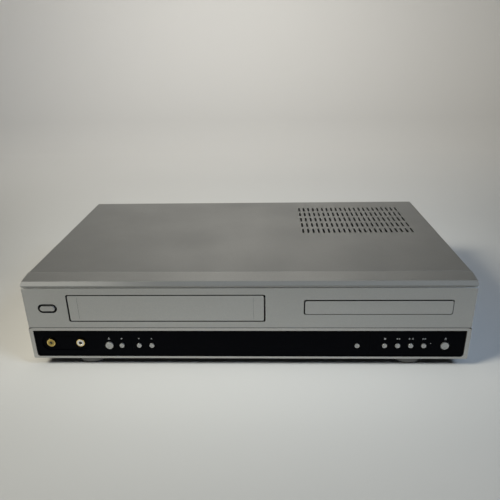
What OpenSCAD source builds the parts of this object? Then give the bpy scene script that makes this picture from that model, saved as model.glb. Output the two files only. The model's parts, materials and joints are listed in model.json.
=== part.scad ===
// Disc and tape combination player.
// Drawn with y = 0 at the front lip and z = 0 at the surface it stands on,
// then moved so that the origin is the centre of the footprint.

/* [Case] */
// Width of the front
case_w = 430; // [400:1:470]
// Height of the cover's top face above the surface
case_h = 93.2; // [86:0.2:105]
// Depth from the front lip to the rear edge of the cover
case_d = 250; // [225:1:290]
// How far the cover stands out past each side of the front
flare = 1.5; // [0.5:0.1:2.5]
// Height of the underside above the surface
foot_h = 9; // [7:0.5:12]
// Thickness of the cover, chassis and rear sheet
sheet_t = 0.8; // [0.6:0.1:1]
// Depth of the plastic front before the cover starts
front_d = 24.8; // [22.4:0.2:28]
// Wall of the plastic front
wall = 2.5; // [2:0.1:2.8]
// Height of the seam between the bezel and the control frame
seam_z = 44; // [41:0.2:47]
// Width of the seam
seam_gap = 0.3; // [0.1:0.1:0.8]
// Radius of the front's corners seen from above
corner_r = 1.5; // [0.8:0.1:2]
// Radius of the control frame's lower corners
frame_r = 3; // [2:0.1:4]
// Depth of the control frame's floor
frame_floor_d = 12; // [8:0.5:18]

/* [Vents] */
// Columns of air slots
vent_cols = 22; // [8:1:22]
// Rows of air slots
vent_rows = 5; // [1:1:5]
// Pitch of the columns
vent_pitch_x = 6.03; // [4:0.01:6.5]
// Pitch of the rows
vent_pitch_y = 20; // [16:0.25:20]
// Length of a slot
vent_len = 13.7; // [8:0.1:14]
// Width of a slot
vent_w = 2.2; // [1.5:0.1:2.6]

/* [Cassette side] */
// Least width of the power button's zone, left of the cassette door
power_zone = 27.8; // [25:0.1:32]
// Width of the cassette door
door_w = 188.3; // [188:0.1:194]
// Height of the cassette door
door_h = 27.2; // [26:0.1:30]
// Place of the cassette door in its field, from 0 at the seam to 1 under the roof
door_level = 0.354; // [0.3:0.002:0.5]
// Thickness of the cassette door
door_t = 2; // [1.6:0.1:2.4]
// Gap above and below the cassette door
door_gap = 1; // [0.8:0.05:1.3]
// Gap at each side of the cassette door
door_side_gap = 1.5; // [1:0.05:1.8]
// Width of a cassette
cassette_w = 187; // [185:0.5:188]
// Travel of the cassette carriage
carriage_travel = 58; // [45:1:62]
// Drop of the cassette holder
holder_drop = 12; // [8:0.5:13]
// Radius of the head drum
drum_r = 31; // [24:0.5:33]
// Distance between the reel tables
reel_pitch = 92.4; // [86:0.2:98]
// Radius of a reel table
reel_r = 18; // [14:0.5:20]

/* [Disc side] */
// Least width of the front to the right of the tray door
tray_edge = 10.14; // [8:0.02:14]
// Width of the tray door
tray_front_w = 138.9; // [136:0.1:146]
// Height of the tray door
tray_front_h = 14.1; // [13:0.1:16]
// Gap round the tray door
tray_gap = 0.9; // [0.8:0.05:1.2]
// Height of the tray door above the seam
tray_rise = 15; // [14:0.1:18]
// Length of the tray behind its door
tray_len = 155; // [148:1:160]
// Radius of the disc recess
disc_r = 61; // [60.2:0.1:61.4]
// Teeth of the tray gear, an even number
pinion_teeth = 16; // [12:2:20]
// Pitch of the rack teeth
rack_pitch = 3.2; // [3:0.1:3.6]
// Lift of the traverse deck
traverse_lift = 8; // [7:0.1:8]
// Travel of the optical pickup
pickup_travel = 34; // [26:1:36]

/* [Controls] */
// Travel of each button
button_travel = 1; // [0.6:0.1:1]
// Gap round each button
button_gap = 0.3; // [0.15:0.05:0.5]
// Radius of the two eject buttons
big_button_r = 3.9; // [3.6:0.1:4.6]
// Radius of the other round buttons
small_button_r = 2.4; // [2.2:0.05:3]
// Height of the button row
button_z = 23.5; // [22:0.5:26]
// Width of the power button
power_w = 14.5; // [12:0.5:15]
// Height of the power button
power_h = 5.4; // [4.5:0.1:6]
// Width of the shallow recess round the power button
power_rim = 2.1; // [1:0.1:2.6]
// Shift of the power button from the middle of its zone
power_shift = 0.6; // [-1:0.05:1]
// Height of the power button above the door's lower edge
power_rise = 13.5; // [8:0.1:18]

/* [Sockets and feet] */
// Outer radius of a phono socket
socket_r = 4.15; // [3.9:0.05:4.4]
// Bore radius of a phono socket
socket_bore_r = 1.65; // [1.4:0.05:1.9]
// Radius of a foot
foot_r = 19.5; // [16:0.5:20]
// Distance of the feet from the middle
foot_x = 160.5; // [150:0.5:170]
// Thickness of a foot pad
pad_t = 1.5; // [1:0.1:2]

/* [Hidden] */
$fn = 48;

// Gaps
fit = 0.05;
slide_gap = 0.1;
clear = 0.3;

// Screws
screw_head_r = 3;
screw_head_h = 1.8;
screw_r = 1.5;
screw_hole_r = screw_r + slide_gap;

// Case planes
half_w = case_w / 2;
cover_half = half_w + flare;
frame_half = half_w + 0.4 * flare;
floor_z = foot_h + sheet_t;
cover_in = cover_half - sheet_t;
roof_z = case_h - sheet_t;
rear_y = case_d - sheet_t;
flange_y = front_d + 2.2;
panel_y = rear_y - sheet_t;
jack_out = 9;
mid_y = (rear_y + jack_out) / 2;

// Places of the two doors: the three fields beside them share what they leave over
spare_w = case_w - door_w - tray_front_w;
door_x0 = -half_w + power_zone + 0.15 * spare_w;
door_x1 = door_x0 + door_w;
tape_x = (door_x0 + door_x1) / 2;
tray_x = half_w - tray_edge - 0.1 * spare_w - tray_front_w / 2;
door_z = seam_z + door_level * (case_h - seam_z - door_h);
door_z1 = door_z + door_h;
tray_front_z = seam_z + tray_rise;
tray_sag = 0.35;
power_x = (door_x0 - half_w) / 2 + power_shift;
power_z = door_z + power_rise;

// Front planes
face_y = 1;
inner_y = face_y + wall;
frame_y = 0.6;
gloss_y = 1.8;
gloss_t = 2.5;
gloss_back = gloss_y + gloss_t;
gloss_z0 = foot_h + 2.4;
gloss_z1 = seam_z - 3.3;
gloss_x = half_w - 3.7;
window_x0 = -half_w + 100.1;
window_x1 = half_w - 95.5;
window_t = 1.5;
tube_w = 112;
tube_h = 18;
tube_z = (gloss_z0 + gloss_z1) / 2;
button_y = 0.6;
stem_end = gloss_back + 2.7;
switch_y = stem_end + button_travel + slide_gap;
board_t = 1.6;
board_y = switch_y + 3.9;

// Round buttons: place, radius, height
eject_x = -half_w + 77.7;
record_x = eject_x + 12.6;
channel_down_x = record_x + 17.3;
channel_up_x = channel_down_x + 12.6;
select_x = half_w - 107.5;
transport_x = half_w - 80.9;
transport_pitch = 12.63;
disc_eject_x = half_w - 22.7;
small_x = [record_x, channel_down_x, channel_up_x, select_x,
    for (i = [0 : 3]) transport_x + i * transport_pitch];
big_x = [eject_x, disc_eject_x];
socket_x = [-half_w + 19.35, -half_w + 49];
socket_z = 26.6;

// Cassette side
hinge_y = face_y + 2;
hinge_z = door_z1 - 1.8;
hinge_r = 1.1;
hinge_reach = 3;
hinge_pin_end = door_side_gap + hinge_reach - 0.6;
hinge_pin_start = 6;
rib_w = 4;
rib_out = door_side_gap + rib_w;
spring_r = 2.2;
spring_len = 12;
spring_x0 = door_x0 - rib_out - 1 - spring_len;
slot_in = cassette_w / 2 + 1;
holder_wall = 1;
holder_out = slot_in + holder_wall;
holder_y0 = inner_y + door_h + 1;
holder_len = 45;
holder_y1 = holder_y0 + holder_len;
holder_z0 = door_z - 1.6;
holder_z1 = holder_z0 + 28;
bracket_in = holder_out + 0.4;
bracket_t = 1.2;
bracket_out = bracket_in + bracket_t;
side_in = bracket_out + 0.5;
side_out = side_in + 1.2;
guide_pin_r = 1.2;
run_z = holder_z1 - 1.3;
run_y = [holder_y0 + 9, holder_y1 - 9];
drop_y = holder_y0 + holder_len / 2;
drop_z = holder_z0 + 21;
deck_z = 30;
deck_t = 1.2;
deck_top = deck_z + deck_t;
deck_y0 = holder_y0 - 1;
drum_y = holder_y1 + carriage_travel + 7 + drum_r;
deck_y1 = drum_y + drum_r + 1;
deck_half = side_out + 0.4;
reel_y = holder_y1 - 4;
capstan_x = tape_x + 52.2;
capstan_y = drum_y - 28;
arm_x = capstan_x + 9;
arm_y = capstan_y + 24;
arm_len = 24;
arm_rest = 20;
roller_r = 7;
guide_y = drum_y - 34;
guide_side = 30.2;
guide_run = [10, 40];
guide_len = sqrt(guide_run[0] * guide_run[0] + guide_run[1] * guide_run[1]);
guide_turn = atan(guide_run[0] / guide_run[1]);

// Motors and heads of the tape deck
deck_motor_r = 10;
deck_motor_x = tape_x - 72;
deck_motor_y = drum_y - 2;
deck_motor_z1 = deck_top + 25;
capstan_motor_r = 21;
capstan_motor_z0 = 13;
head_h = 22;
erase_head_x = tape_x - 62;
erase_head_y = drum_y - 28;

// Disc side
tray_half = 61.8;
runner_half = 64.4;
loader_in = runner_half + 0.4;
loader_out = loader_in + 2.5;
loader_z = seam_z;
loader_t = 1.5;
loader_floor = loader_z + loader_t;
loader_y0 = 8;
tray_front_t = 3.5;
tray_y0 = face_y + tray_front_t;
tray_y1 = tray_y0 + tray_len;
loader_y1 = tray_y1 + 5;
tray_z0 = tray_front_z + 2.3;
recess_z = tray_z0 + 4.5;
tray_z1 = tray_z0 + 7.8;
disc_y = tray_y0 + disc_r + 10.5;
pitch_r = pinion_teeth * rack_pitch / (2 * PI);
tooth_h = 1.2;
rack_base = tray_half - 1.8;
pinion_x = tray_x - rack_base + tooth_h + pitch_r - 0.45;
pinion_y = 24;
pinion_z = tray_front_z + 0.1;
traverse_t = 1.5;
table_rise = 9.2;
disc_lift = 0.9;
traverse_z = recess_z + disc_lift - traverse_lift - table_rise - traverse_t;
traverse_top = traverse_z + traverse_t;
rod_z_mid = traverse_z + 2;
rod_x_side = 25;
pickup_y = disc_y + 16.5;
pickup_len = 20;
rod_y0 = pickup_y - 1.5;
rod_y1 = pickup_y + pickup_len + pickup_travel + 1.5;
bridge_z = tray_z1 + 4.6;
bridge_t = 1.2;
deck_posts = [for (x = [tape_x - 84, tape_x + 84], y = [deck_y0 + 8, deck_y1 - 8]) [x, y]];
loader_posts = [for (x = [tray_x - 61, tray_x + 61], y = [front_d + 8, loader_y1 - 5]) [x, y]];
foot_places = [for (x = [-foot_x, foot_x], y = [flange_y - 2.9, case_d - 30]) [x, y]];
foot_seat = 5;
cover_screw_x = [-half_w + 25, 0, half_w - 25];
cover_screw_z = roof_z - 5.5;

// Nose at the top of the front and the groove under it
nose_d = 5.2;
nose_top = case_h - 0.9;
nose_z = case_h - 3.5;
groove_y = 1.8;
groove_z1 = nose_z - 0.8;
groove_z0 = groove_z1 - 1.3;

// Notch at each end of the seam
notch_w = 4.5;
notch_h = 1.4;

// Boards
board_z = floor_z + 4;
parts_z = board_z + board_t;
stand_r = 3;
main_x0 = -half_w + 10;
main_x1 = 50;
main_y0 = deck_y1 + 3;
main_y1 = panel_y - 3;
chip_w = 16;
chip_d = 10;
chip_h = 2.4;
main_chip_x = [main_x0 + 75, main_x0 + 105, main_x1 - 30];
psu_x0 = main_x1 + 12;
psu_x1 = half_w - 10;
psu_y0 = loader_y1 + 6;
psu_y1 = panel_y - 16;
psu_part_h = 32;
transformer_w = 36;
transformer_d = 24;
capacitor_r = 11;
sink_t = 3;
decoder_w = 110;
decoder_y0 = 40;
decoder_y1 = decoder_y0 + decoder_w;
decoder_chip = 28;

// Rear sockets
collar_r = 5.2;
collar_t = 1;
jack_len = 8;
jack_pitch = 16;
jack_x0 = -60;
jack_x1 = jack_x0 + 4 * jack_pitch;
jack_z0 = 30;
jack_z1 = jack_z0 + jack_pitch;
jack_edge = 10;
jack_body_d = 12;
rear_jack_places = [for (x = [jack_x0 : jack_pitch : jack_x1 + 1], z = [jack_z0, jack_z1]) [x, z]];
aerial_r = 4.8;
aerial_nut_r = 6;
tuner_w = 48;
tuner_t = 14;
tuner_h = 12;
tuner_x0 = -half_w + 23;
tuner_x = [tuner_x0 + tuner_w / 4, tuner_x0 + tuner_w * 3 / 4];
tuner_z = 38;
inlet_w = 22;
inlet_h = 16;
inlet_d = 14;
inlet_wall = 3;
inlet_lip = 1.5;
inlet_pin_r = 1.2;
inlet_x = half_w - 30;
inlet_z = 32;

module from_front() translate([0, -mid_y, 0]) children();

module slab(x0, x1, y0, y1, z0, z1) translate([x0, y0, z0]) cube([x1 - x0, y1 - y0, z1 - z0]);

module post(x, y, r, z0, z1) translate([x, y, z0]) cylinder(h = z1 - z0, r = r);

module rod_y(x, z, r, y0, y1) translate([x, y0, z]) rotate([-90, 0, 0]) cylinder(h = y1 - y0, r = r);

module rod_x(y, z, r, x0, x1) translate([x0, y, z]) rotate([0, 90, 0]) cylinder(h = x1 - x0, r = r);

// Rectangle with round corners, as squares and circles
module round_rect(w, h, r) {
    square([w - 2 * r, h], center = true);
    square([w, h - 2 * r], center = true);
    for (x = [-1, 1], y = [-1, 1]) translate([x * (w / 2 - r), y * (h / 2 - r)]) circle(r);
}

// Round-cornered plate seen from the front
module front_plate(x0, x1, z0, z1, r, y0, y1)
    translate([(x0 + x1) / 2, y1, (z0 + z1) / 2])
        rotate([90, 0, 0]) linear_extrude(y1 - y0) round_rect(x1 - x0, z1 - z0, r);

module pill_plate(x, z, w, h, y0, y1)
    front_plate(x - w / 2, x + w / 2, z - h / 2, z + h / 2, h / 2 - 0.01, y0, y1);

// Profile drawn in y and z, drawn out along x
module across(x0, x1) translate([x0, 0, 0]) rotate([90, 0, 90]) linear_extrude(x1 - x0) children();

// Front as seen from above: round corners, and sides that widen to meet the cover
module front_plan(edge) linear_extrude(case_h + 1) {
    polygon([[-edge, corner_r], [edge, corner_r], [cover_half, front_d], [cover_half, front_d + 10],
        [-cover_half, front_d + 10], [-cover_half, front_d]]);
    translate([-edge + corner_r, 0]) square([2 * (edge - corner_r), 2 * corner_r]);
    for (s = [-1, 1]) translate([s * (edge - corner_r), corner_r]) circle(corner_r);
}

// Opening of the control strip: round below, nearly square above
module strip(gap, y0, y1) {
    front_plate(-gloss_x - gap, gloss_x + gap, gloss_z0 - gap, gloss_z1 + gap, frame_r, y0, y1);
    front_plate(-gloss_x - gap, gloss_x + gap, (gloss_z0 + gloss_z1) / 2, gloss_z1 + gap, 1, y0, y1);
}

module screw_z(x, y, z, length) {
    post(x, y, screw_head_r, z, z + screw_head_h);
    post(x, y, screw_r, z - length, z);
}

// ---- Case ----

// Floor of the chassis seen from above, narrower between the sides of the front
module chassis_floor() {
    wide = cover_in - slide_gap;
    lip = half_w - wall - slide_gap;
    lip_y = frame_y + frame_floor_d + slide_gap;
    difference() {
        polygon([[-wide, front_d], [-lip, front_d], [-lip, lip_y], [lip, lip_y],
            [lip, front_d], [wide, front_d], [wide, panel_y], [-wide, panel_y]]);
        for (p = foot_places) translate(p) circle(screw_hole_r);
    }
}

module bottom_chassis() color("lightgray") from_front() {
    translate([0, 0, foot_h]) linear_extrude(sheet_t) chassis_floor();
    for (s = [-1, 1]) {
        side_x = s * (cover_in - slide_gap - sheet_t / 2);
        slab(side_x - sheet_t / 2, side_x + sheet_t / 2, front_d, panel_y, floor_z, foot_h + 22);
    }
    slab(-cover_in + slide_gap, cover_in - slide_gap, flange_y, flange_y + sheet_t, floor_z, foot_h + 22);
    for (p = deck_posts) difference() {
        post(p[0], p[1], 4, floor_z, deck_z);
        post(p[0], p[1], 1.55, deck_z - 8, deck_z + 1);
    }
    for (p = loader_posts) difference() {
        post(p[0], p[1], 3.5, floor_z, loader_z);
        post(p[0], p[1], 1.55, loader_z - 8, loader_z + 1);
    }
}

module vent_slots() {
    x0 = tray_x + 0.7 - (vent_cols - 1) * vent_pitch_x / 2;
    y0 = case_d - 72.5 - (vent_rows - 1) * vent_pitch_y / 2;
    for (i = [0 : vent_cols - 1], j = [0 : vent_rows - 1])
        translate([x0 + i * vent_pitch_x, y0 + j * vent_pitch_y, roof_z - 1])
            linear_extrude(sheet_t + 2) round_rect(vent_w, vent_len, vent_w / 2 - 0.01);
}

module top_cover() color([0.49, 0.49, 0.47]) from_front() {
    fold_r = 1.2;
    side_h = case_h - foot_h - 0.3;
    difference() {
        translate([0, case_d, 0]) rotate([90, 0, 0]) linear_extrude(case_d - front_d) difference() {
            translate([0, foot_h + 0.3]) union() {
                translate([-cover_half, 0]) square([2 * cover_half, side_h - fold_r]);
                translate([-cover_half + fold_r, 0]) square([2 * (cover_half - fold_r), side_h]);
                for (s = [-1, 1]) translate([s * (cover_half - fold_r), side_h - fold_r]) circle(fold_r);
            }
            translate([-cover_in, 0]) square([2 * cover_in, roof_z]);
        }
        vent_slots();
    }
    difference() {
        slab(-cover_in + 1, cover_in - 1, rear_y, case_d, roof_z - 11, roof_z);
        for (x = cover_screw_x) rod_y(x, cover_screw_z, screw_hole_r, rear_y - 1, case_d + 1);
    }
}

module rear_panel() color("silver") from_front() difference() {
    slab(-cover_in + slide_gap, cover_in - slide_gap, panel_y, rear_y, foot_h, roof_z - slide_gap);
    for (x = cover_screw_x) rod_y(x, cover_screw_z, screw_hole_r, panel_y - 1, rear_y + 1);
    for (p = rear_jack_places) rod_y(p[0], p[1], collar_r + clear, panel_y - 1, rear_y + 1);
    for (x = tuner_x) rod_y(x, tuner_z, aerial_nut_r + clear, panel_y - 1, rear_y + 1);
    slab(inlet_x - inlet_w / 2 - clear, inlet_x + inlet_w / 2 + clear, panel_y - 1, rear_y + 1,
        inlet_z - inlet_h / 2 - clear, inlet_z + inlet_h / 2 + clear);
}

module bezel_outline() polygon([[front_d - 0.2, case_h], [nose_d, nose_top],
    [0.5, nose_z + 0.4], [0.1, nose_z + 0.1], [0, nose_z - 0.2], [0, nose_z - 0.4],
    [groove_y, groove_z1], [groove_y, groove_z0], [face_y, groove_z0 - 0.8],
    [face_y, seam_z + seam_gap / 2], [front_d - 0.2, seam_z + seam_gap / 2]]);

module bezel_hollow() polygon([[front_d + 1, roof_z - 2.2], [6, roof_z - 3], [inner_y, nose_z - 2.2],
    [inner_y, seam_z - 1], [front_d + 1, seam_z - 1]]);

module front_bezel() color([0.53, 0.54, 0.53]) from_front() difference() {
    union() {
        difference() {
            intersection() {
                across(-cover_half, cover_half) bezel_outline();
                front_plan(half_w);
            }
            across(-half_w + wall, half_w - wall) bezel_hollow();
        }
        slab(-half_w + 10, half_w - 10, front_d - 3, front_d + 5, roof_z - 2, roof_z - slide_gap);
        for (x = [door_x0 - rib_out, door_x1 + door_side_gap])
            slab(x, x + rib_w, inner_y - 1, inner_y + 3, door_z, door_z1 + 2);
    }
    front_plate(door_x0 - door_side_gap, door_x1 + door_side_gap, door_z - door_gap, door_z1 + door_gap,
        1.8, -1, inner_y + 5);
    translate([-tray_sag, 0, tray_sag])
        front_plate(tray_x - tray_front_w / 2 - tray_gap, tray_x + tray_front_w / 2 + tray_gap,
            tray_front_z - tray_gap, tray_front_z + tray_front_h + tray_gap, 2, -1, inner_y + 1);
    pill_plate(power_x, power_z, power_w + 2 * power_rim, power_h + 2 * power_rim, -1, face_y + 0.8);
    pill_plate(power_x, power_z, power_w + 2 * button_gap, power_h + 2 * button_gap, -1, inner_y + 1);
    rod_x(hinge_y, hinge_z, hinge_r + fit, door_x0 - door_side_gap - hinge_reach,
        door_x1 + door_side_gap + hinge_reach);
}

// Wedge that opens the seam towards the side of the case
module seam_notch(s) translate([0, front_d, 0]) rotate([90, 0, 0]) linear_extrude(front_d)
    polygon([[s * (frame_half - notch_w), seam_z], [s * (cover_half + 1), seam_z],
        [s * (cover_half + 1), seam_z - notch_h], [s * frame_half, seam_z - notch_h]]);

module control_frame() color([0.6, 0.61, 0.6]) from_front() difference() {
    intersection() {
        slab(-cover_half, cover_half, frame_y, front_d - 0.2, foot_h, seam_z - seam_gap / 2);
        front_plate(-cover_half, cover_half, foot_h, case_h, frame_r, 0, front_d);
        front_plan(frame_half);
    }
    strip(slide_gap, -1, inner_y + 2);
    for (s = [-1, 1]) seam_notch(s);
    slab(-half_w + wall, half_w - wall, inner_y + 1, front_d + 1, foot_h + wall, seam_z + 1);
    slab(-half_w + wall, half_w - wall, frame_y + frame_floor_d, front_d + 1, foot_h - 1, seam_z + 1);
}

module control_panel() color([0.03, 0.03, 0.04]) from_front() difference() {
    strip(0, gloss_y, gloss_back);
    slab(window_x0 - slide_gap, window_x1 + slide_gap, gloss_y - 1, gloss_y + window_t,
        gloss_z0 - 1, gloss_z1 + 1);
    slab(-tube_w / 2 - 4, tube_w / 2 + 4, gloss_y, gloss_back + 1,
        tube_z - tube_h / 2 - 1, tube_z + tube_h / 2 + 1);
    button_holes();
    front_plate(socket_x[0] - 9, socket_x[1] + 7.5, socket_z - 9, socket_z + 7.5, 7,
        gloss_y - 1, gloss_y + 1);
    for (x = socket_x) rod_y(x, socket_z, socket_r + 0.2, gloss_y - 1, gloss_back + 1);
}

module button_holes() {
    for (x = small_x) rod_y(x, button_z, small_button_r + button_gap, gloss_y - 1, gloss_back + 1);
    for (x = big_x) rod_y(x, button_z, big_button_r + button_gap, gloss_y - 1, gloss_back + 1);
}

module display_window() color([0.05, 0.05, 0.06, 0.9]) from_front() difference() {
    slab(window_x0, window_x1, gloss_y - 0.05, gloss_y + window_t, gloss_z0, gloss_z1);
    button_holes();
}

module display_tube() color("dimgray") from_front() {
    slab(-tube_w / 2, tube_w / 2, gloss_back + 1, gloss_back + 5, tube_z - tube_h / 2, tube_z + tube_h / 2);
    slab(4 - tube_w / 2, tube_w / 2 - 4, gloss_back + 5, board_y, tube_z - tube_h / 3, tube_z + tube_h / 3);
}

module feet() color("silver") from_front() for (p = foot_places) difference() {
    post(p[0], p[1], foot_r, pad_t, foot_h);
    post(p[0], p[1], screw_head_r + 1, pad_t - 1, foot_seat);
    post(p[0], p[1], screw_hole_r, pad_t - 1, foot_h + 1);
}

module foot_pads() color([0.1, 0.1, 0.1]) from_front() for (p = foot_places) difference() {
    post(p[0], p[1], foot_r - 2, 0, pad_t);
    post(p[0], p[1], 6, -1, pad_t + 1);
}

module screws() color("gray") from_front() {
    for (p = foot_places) {
        post(p[0], p[1], screw_head_r, foot_seat - screw_head_h, foot_seat);
        post(p[0], p[1], screw_r, foot_seat, floor_z + 2);
    }
    for (p = deck_posts) screw_z(p[0], p[1], deck_top, 7);
    for (p = loader_posts) screw_z(p[0], p[1], loader_floor, 7);
    for (x = cover_screw_x) {
        rod_y(x, cover_screw_z, screw_head_r, case_d, case_d + screw_head_h);
        rod_y(x, cover_screw_z, screw_r, case_d - 6, case_d);
    }
}

// ---- Buttons and front electronics ----

module round_button(x, r) color("silver") from_front() {
    difference() {
        rod_y(x, button_z, r, button_y, gloss_back);
        translate([x, button_y - r * 2.2, button_z]) sphere(r = r * 2.32);
    }
    rod_y(x, button_z, r + 1, gloss_back, gloss_back + 1);
    rod_y(x, button_z, 1.5, gloss_back + 1, stem_end);
}

module power_button() color("silver") from_front() {
    pill_plate(power_x, power_z, power_w, power_h, 0.4, inner_y);
    pill_plate(power_x, power_z, power_w + 2, power_h + 2, inner_y, inner_y + 1);
    rod_y(power_x, power_z, 1.5, inner_y + 1, stem_end);
}

module tape_eject_button() round_button(eject_x, big_button_r);
module record_button() round_button(record_x, small_button_r);
module channel_down_button() round_button(channel_down_x, small_button_r);
module channel_up_button() round_button(channel_up_x, small_button_r);
module source_select_button() round_button(select_x, small_button_r);
module stop_button() round_button(transport_x, small_button_r);
module rewind_button() round_button(transport_x + transport_pitch, small_button_r);
module play_button() round_button(transport_x + 2 * transport_pitch, small_button_r);
module fast_forward_button() round_button(transport_x + 3 * transport_pitch, small_button_r);
module disc_eject_button() round_button(disc_eject_x, big_button_r);

module push_switch(x, z) {
    slab(x - 3, x + 3, switch_y + 0.9, board_y, z - 3, z + 3);
    rod_y(x, z, 1.6, switch_y, switch_y + 0.9);
}

module control_board() color("darkgreen") from_front() {
    slab(-half_w + 4, half_w - 4, board_y, board_y + board_t, foot_h + 4, seam_z - 4);
    for (x = concat(small_x, big_x)) push_switch(x, button_z);
    for (x = [-half_w + 65, half_w - 140])
        slab(x, x + 8, board_y + board_t, flange_y, foot_h + 8, foot_h + 20);
}

module power_switch_board() color("darkgreen") from_front() {
    slab(power_x - 10, power_x + 10, board_y, board_y + board_t, power_z - 10, power_z + 10);
    push_switch(power_x, power_z);
    for (s = [-1, 1]) rod_y(power_x + s * 7.5, power_z - s * 7.5, 2, inner_y, board_y);
}

module phono_socket(x, z, y0, y1) {
    difference() {
        rod_y(x, z, socket_r, y0, y1);
        rod_y(x, z, socket_bore_r, y0 - 1, y0 + 7);
    }
    slab(x - 5, x + 5, y1, y1 + 3, z - 5, z + 5);
}

module video_jack_front() color("gold") from_front() phono_socket(socket_x[0], socket_z, 0.8, board_y - 3);
module audio_jack_front() color("gold") from_front() phono_socket(socket_x[1], socket_z, 0.8, board_y - 3);

// ---- Cassette side ----

module cassette_door() color([0.55, 0.55, 0.54]) from_front() {
    difference() {
        front_plate(door_x0, door_x1, door_z, door_z1, 1.5, face_y, face_y + door_t);
        for (x = [door_x0 + 9, door_x1 - 10]) slab(x, x + 0.3, 0, face_y + 0.15, door_z + 2, door_z1 - 2);
    }
    rod_x(hinge_y, hinge_z, hinge_r, door_x0 - hinge_pin_end, door_x0 + hinge_pin_start);
    rod_x(hinge_y, hinge_z, hinge_r, door_x1 - hinge_pin_start, door_x1 + hinge_pin_end);
}

module door_spring() color("gray") from_front() difference() {
    spring_y = inner_y + spring_r + slide_gap;
    rod_x(spring_y, hinge_z, spring_r, spring_x0, spring_x0 + spring_len);
    rod_x(spring_y, hinge_z, spring_r - 0.7, spring_x0 - 1, spring_x0 + spring_len + 1);
}

// Slanted slot in the deck plate that a tape guide's pin runs along
module guide_slot(s) {
    slot_r = guide_pin_r + clear;
    translate([tape_x + s * guide_side, guide_y, deck_z - 1]) rotate([0, 0, -s * guide_turn])
        translate([0, guide_len / 2, 0]) linear_extrude(deck_t + 2)
            round_rect(2 * slot_r, guide_len + 2 * slot_r, slot_r - 0.01);
}

module tape_deck_plate() color("lightgray") from_front() difference() {
    slab(tape_x - deck_half, tape_x + deck_half, deck_y0, deck_y1, deck_z, deck_top);
    for (p = deck_posts) post(p[0], p[1], screw_hole_r, deck_z - 1, deck_top + 1);
    for (s = [-1, 1]) guide_slot(s);
    for (s = [-1, 1]) post(tape_x + s * reel_pitch / 2, reel_y, 1.5 + fit, deck_z - 1, deck_top + 1);
    post(capstan_x, capstan_y, 3, deck_z - 1, deck_top + 1);
}

module carriage_side_frames() color("silver") from_front() for (s = [-1, 1]) {
    x0 = min(tape_x + s * side_in, tape_x + s * side_out);
    slot_y0 = run_y[0] - guide_pin_r - clear;
    slot_y1 = run_y[1] + carriage_travel + guide_pin_r + clear;
    difference() {
        slab(x0, x0 + side_out - side_in, deck_y0, holder_y1 + carriage_travel + 4,
            deck_top, holder_z1 + 4);
        slab(x0 - 1, x0 + 3, slot_y0, slot_y1,
            run_z - guide_pin_r - slide_gap, run_z + guide_pin_r + slide_gap);
    }
}

module cassette_carriage() color("gray") from_front() {
    for (s = [-1, 1]) {
        x0 = min(tape_x + s * bracket_in, tape_x + s * bracket_out);
        difference() {
            slab(x0, x0 + bracket_t, holder_y0 + 4, holder_y1 - 4, holder_z0 + 5, holder_z1 + 2);
            slab(x0 - 1, x0 + 3, drop_y - guide_pin_r - slide_gap, drop_y + guide_pin_r + slide_gap,
                drop_z - holder_drop - guide_pin_r - clear, drop_z + guide_pin_r + clear);
        }
        p0 = tape_x + s * bracket_out;
        p1 = tape_x + s * (side_out + 0.3);
        for (y = run_y) rod_x(y, run_z, guide_pin_r, min(p0, p1), max(p0, p1));
    }
    slab(tape_x - bracket_out, tape_x + bracket_out, drop_y - 8, drop_y + 8,
        holder_z1 + 0.8, holder_z1 + 2);
}

module cassette_holder() color("silver") from_front() {
    slab(tape_x - holder_out, tape_x + holder_out, holder_y0, holder_y1,
        holder_z1 - holder_wall, holder_z1);
    for (s = [-1, 1]) {
        w0 = tape_x + s * slot_in;
        w1 = tape_x + s * holder_out;
        slab(min(w0, w1), max(w0, w1), holder_y0, holder_y1, holder_z0, holder_z1);
        l0 = tape_x + s * (slot_in - 12);
        slab(min(l0, w0), max(l0, w0), holder_y0, holder_y1, holder_z0, holder_z0 + holder_wall);
        p1 = tape_x + s * (bracket_out + 0.2);
        rod_x(drop_y, drop_z, guide_pin_r, min(w1, p1), max(w1, p1));
    }
}

module head_drum_base() color("silver") from_front() difference() {
    post(tape_x, drum_y, drum_r, deck_top, deck_top + 12);
    post(tape_x, drum_y, 3 + fit, deck_top + 2, deck_top + 13);
}

module head_drum() color("lightgray") from_front() {
    post(tape_x, drum_y, drum_r, deck_top + 12.3, deck_top + 27);
    post(tape_x, drum_y, 3, deck_top + 3, deck_top + 12.3);
}

module capstan_motor() color("gray") from_front() difference() {
    post(capstan_x, capstan_y, capstan_motor_r, capstan_motor_z0, deck_z);
    post(capstan_x, capstan_y, 1.5 + fit, capstan_motor_z0 + 3, deck_z + 1);
}

module capstan() color("white") from_front()
    post(capstan_x, capstan_y, 1.5, capstan_motor_z0 + 4, deck_top + 27);

module arm_frame() translate([arm_x, arm_y, 0]) rotate([0, 0, arm_rest]) children();

module pinch_arm() color("gray") from_front() arm_frame() {
    slab(-4, 4, -arm_len, 0, deck_top + 6, deck_top + 8);
    post(0, 0, 5, deck_top, deck_top + 8);
    post(0, -arm_len, 4, deck_top + 6, deck_top + 8);
    post(0, -arm_len, 1.5, deck_top + 8, deck_top + 24);
}

module pinch_roller() color([0.12, 0.12, 0.12]) from_front() arm_frame() difference() {
    post(0, -arm_len, roller_r, deck_top + 8.3, deck_top + 23);
    post(0, -arm_len, 1.5 + fit, deck_top + 8, deck_top + 25);
}

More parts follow.
